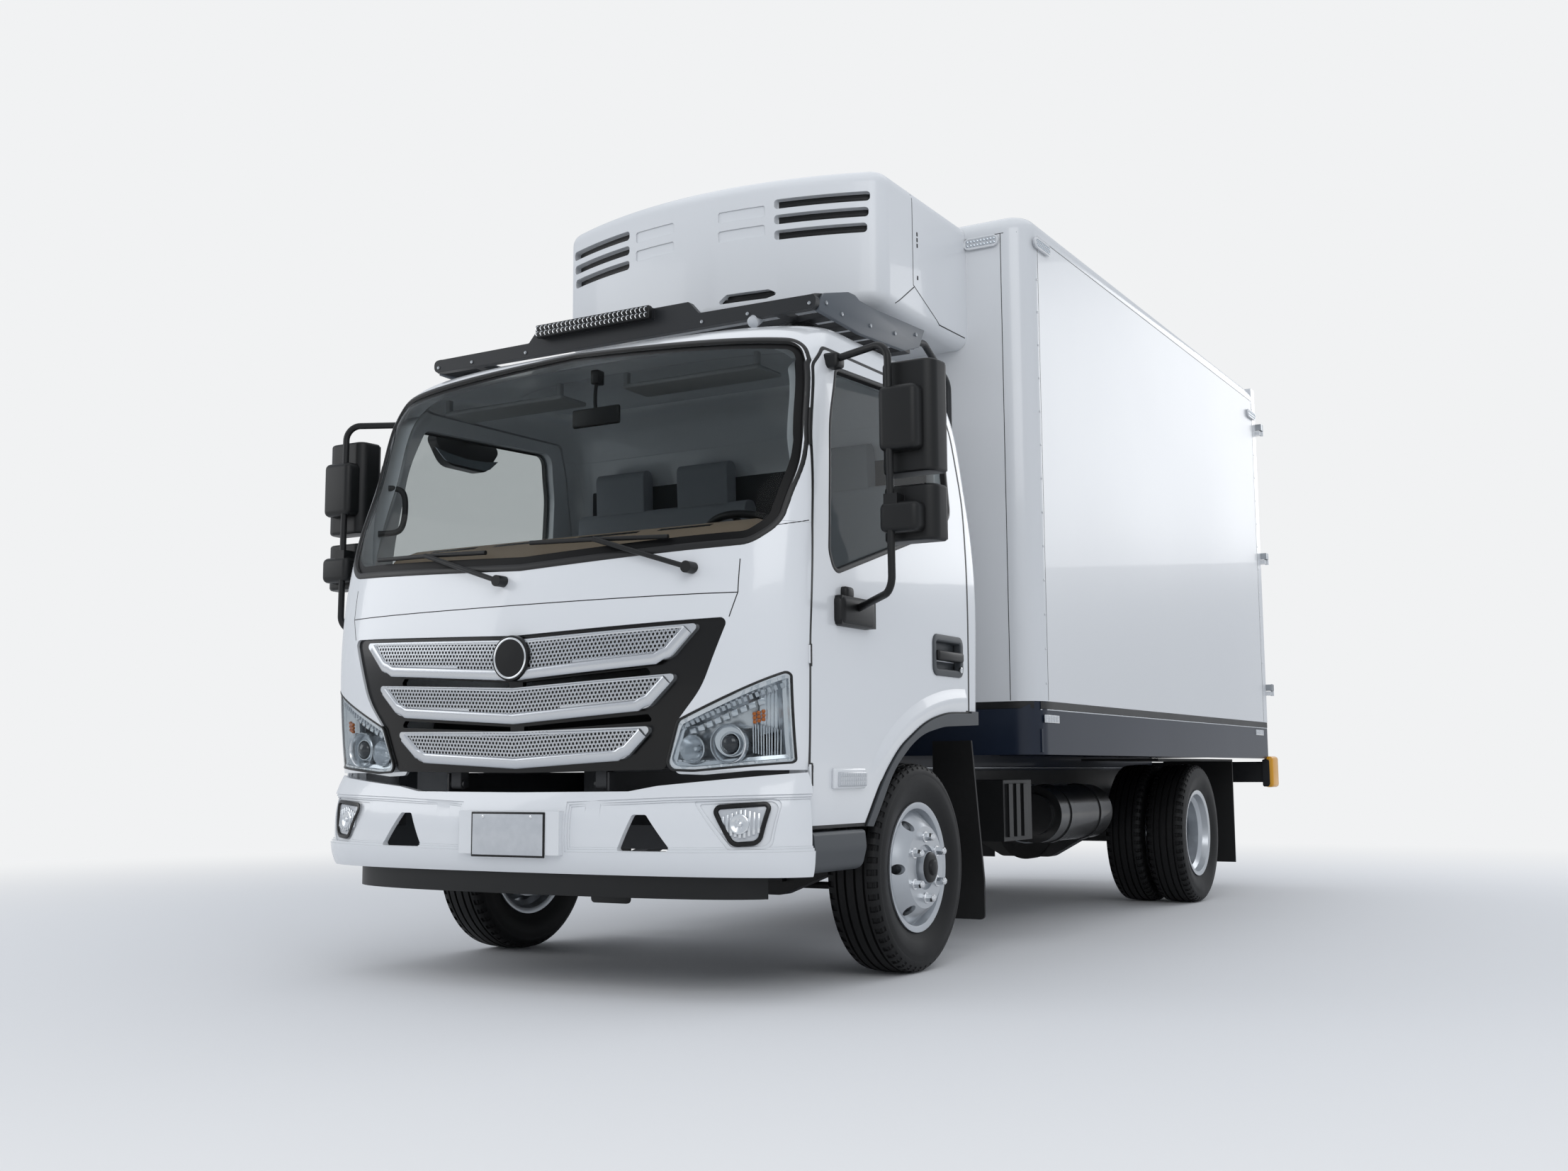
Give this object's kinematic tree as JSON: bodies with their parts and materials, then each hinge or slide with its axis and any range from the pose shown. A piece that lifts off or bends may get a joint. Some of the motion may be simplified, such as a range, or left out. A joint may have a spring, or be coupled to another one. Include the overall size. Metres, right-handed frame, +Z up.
{
  "type": "refrigerated truck",
  "caption": "Forward-control box truck with an insulated cargo box, nose-mounted cooling unit, tilting cab, steered front wheels and twin rear wheels",
  "frame": {"origin": "on the ground, midway along the overall length and on the centre plane", "axes": "+X towards the vehicle's left, +Y towards its rear (the front faces -Y), +Z up"},
  "size_m": [2.817, 6.2498, 3.2],
  "materials": {
    "cab_white": "gloss",
    "box_white": "gloss",
    "unit_white": "gloss",
    "skirt_navy": "gloss",
    "chassis_black": "satin",
    "axle_iron": "satin",
    "spring_steel": "satin",
    "engine_grey": "satin",
    "tank_grey": "satin",
    "silencer_steel": "satin",
    "wheel_silver": "satin",
    "tyre_rubber": "matte",
    "flap_rubber": "matte",
    "grille_black": "satin",
    "bright_bar": "gloss",
    "lamp_clear": "clear",
    "lamp_chrome": "gloss",
    "window_glass": "clear",
    "trim_dark": "matte",
    "mirror_black": "matte",
    "dash_tan": "matte",
    "seat_cloth": "woven",
    "floor_grey": "matte",
    "rack_grey": "satin",
    "guard_yellow": "satin",
    "lock_steel": "satin"
  },
  "bodies": {
    "chassis": {"ladder_frame": "chassis_black", "front_axle": "axle_iron", "leaf_springs": "spring_steel", "rear_axle": "axle_iron", "engine": "engine_grey", "fuel_tank": "tank_grey", "battery_box": "trim_dark", "silencer": "silencer_steel", "front_bumper": "cab_white", "bumper_valance": "trim_dark", "body_lamps": "lamp_clear", "mudguards": "flap_rubber", "rear_bumper": "guard_yellow", "box_floor": "skirt_navy", "box_front_wall": "box_white", "box_side_walls": "box_white", "box_edges": "box_white", "box_roof": "box_white", "box_rear_frame": "box_white", "cooling_unit": "unit_white"},
    "cab": {"cab_floor": "floor_grey", "cab_back": "cab_white", "cab_pillars": "cab_white", "cab_roof": "cab_white", "cab_front_panel": "cab_white", "windscreen": "window_glass", "grille": "grille_black", "grille_bars": "bright_bar", "headlamp_lenses": "lamp_clear", "headlamp_housings": "lamp_chrome", "dashboard": "dash_tan", "seats": "seat_cloth", "roof_rack": "rack_grey", "lower_trims": "trim_dark", "wipers": "mirror_black"},
    "steering_wheel": {"steering_wheel": "mirror_black"},
    "tie_rod": {"tie_rod": "axle_iron"},
    "cab_door_left": {"cab_door_left": "cab_white", "door_glass_left": "window_glass", "mirror_left": "mirror_black"},
    "rear_door_left": {"rear_door_left": "box_white", "lock_gear_left": "lock_steel"},
    "knuckle_left": {"knuckle_left": "axle_iron"},
    "front_wheel_left": {"front_rim_left": "wheel_silver", "front_tyre_left": "tyre_rubber"},
    "rear_wheels_left": {"rear_rims_left": "wheel_silver", "rear_tyres_left": "tyre_rubber"},
    "cab_door_right": {"cab_door_right": "cab_white", "door_glass_right": "window_glass", "mirror_right": "mirror_black"},
    "rear_door_right": {"rear_door_right": "box_white", "lock_gear_right": "lock_steel"},
    "knuckle_right": {"knuckle_right": "axle_iron"},
    "front_wheel_right": {"front_rim_right": "wheel_silver", "front_tyre_right": "tyre_rubber"},
    "rear_wheels_right": {"rear_rims_right": "wheel_silver", "rear_tyres_right": "tyre_rubber"}
  },
  "joints": [
    {"name": "cab_tilt", "type": "hinge", "parent": "chassis", "child": "cab", "pos_m": [0, -3.0105, 0.7], "axis": [1, 0, 0], "range_deg": [0, 45]},
    {"name": "cab_door_left_swing", "type": "hinge", "parent": "cab", "child": "cab_door_left", "pos_m": [1.034, -2.8485, 1.3], "axis": [0, 0, -1], "range_deg": [0, 70]},
    {"name": "cab_door_right_swing", "type": "hinge", "parent": "cab", "child": "cab_door_right", "pos_m": [-1.034, -2.8485, 1.3], "axis": [0, 0, 1], "range_deg": [0, 70]},
    {"name": "rear_door_left_swing", "type": "hinge", "parent": "chassis", "child": "rear_door_left", "pos_m": [1.124, 3.0525, 2.1], "axis": [0, 0, -1], "range_deg": [0, 270]},
    {"name": "rear_door_right_swing", "type": "hinge", "parent": "chassis", "child": "rear_door_right", "pos_m": [-1.124, 3.0525, 2.1], "axis": [0, 0, 1], "range_deg": [0, 270]},
    {"name": "knuckle_left_steer", "type": "hinge", "parent": "chassis", "child": "knuckle_left", "pos_m": [0.77, -1.9805, 0.3835], "axis": [0, 0, 1], "range_deg": [-36, 36]},
    {"name": "knuckle_right_steer", "type": "hinge", "parent": "chassis", "child": "knuckle_right", "pos_m": [-0.77, -1.9805, 0.3835], "axis": [0, 0, 1], "range_deg": [-36, 36]},
    {"name": "tie_rod_turn", "type": "hinge", "parent": "knuckle_left", "child": "tie_rod", "pos_m": [0.77, -1.8105, 0.292], "axis": [0, 0, 1], "range_deg": [-36, 36]},
    {"name": "steering_wheel_turn", "type": "hinge", "parent": "cab", "child": "steering_wheel", "pos_m": [0.51, -2.3105, 1.58], "axis": [0, 0.5, 0.866], "range_deg": [-540, 540]},
    {"name": "front_wheel_left_roll", "type": "hinge", "parent": "knuckle_left", "child": "front_wheel_left", "pos_m": [0.915, -1.9805, 0.3835], "axis": [1, 0, 0], "continuous": true},
    {"name": "front_wheel_right_roll", "type": "hinge", "parent": "knuckle_right", "child": "front_wheel_right", "pos_m": [-0.915, -1.9805, 0.3835], "axis": [1, 0, 0], "continuous": true},
    {"name": "rear_wheels_left_roll", "type": "hinge", "parent": "chassis", "child": "rear_wheels_left", "pos_m": [0.818, 1.6295, 0.3835], "axis": [1, 0, 0], "continuous": true},
    {"name": "rear_wheels_right_roll", "type": "hinge", "parent": "chassis", "child": "rear_wheels_right", "pos_m": [-0.818, 1.6295, 0.3835], "axis": [1, 0, 0], "continuous": true}
  ],
  "couplings": [
    {"joint": "knuckle_right_steer", "follows": "knuckle_left_steer", "ratio": 1},
    {"joint": "tie_rod_turn", "follows": "knuckle_left_steer", "ratio": -1},
    {"joint": "steering_wheel_turn", "follows": "knuckle_left_steer", "ratio": 15}
  ]
}
